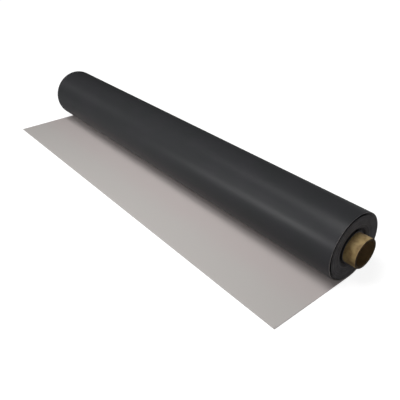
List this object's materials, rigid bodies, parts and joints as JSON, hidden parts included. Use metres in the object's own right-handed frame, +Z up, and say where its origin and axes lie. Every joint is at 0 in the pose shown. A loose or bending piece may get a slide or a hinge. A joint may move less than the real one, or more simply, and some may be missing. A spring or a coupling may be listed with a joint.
{
  "type": "roofing membrane roll",
  "caption": "Roll of dark two-tone waterproofing sheet wound on a paperboard core, with its loose end unrolled flat on the floor.",
  "frame": {"origin": "on the floor, below the middle of the whole object's footprint", "axes": "+X along the roll's axis, -Y the way the loose end lies, +Z up"},
  "size_m": [1.61, 0.3921, 0.2045],
  "materials": {
    "membrane": "charcoal vinyl, satin outside; light warm grey and matte on its inner face",
    "core_tube": "kraft paperboard, matte, spiral wound"
  },
  "bodies": {
    "root": {"membrane": "membrane", "core_tube": "core_tube"}
  },
  "joints": []
}
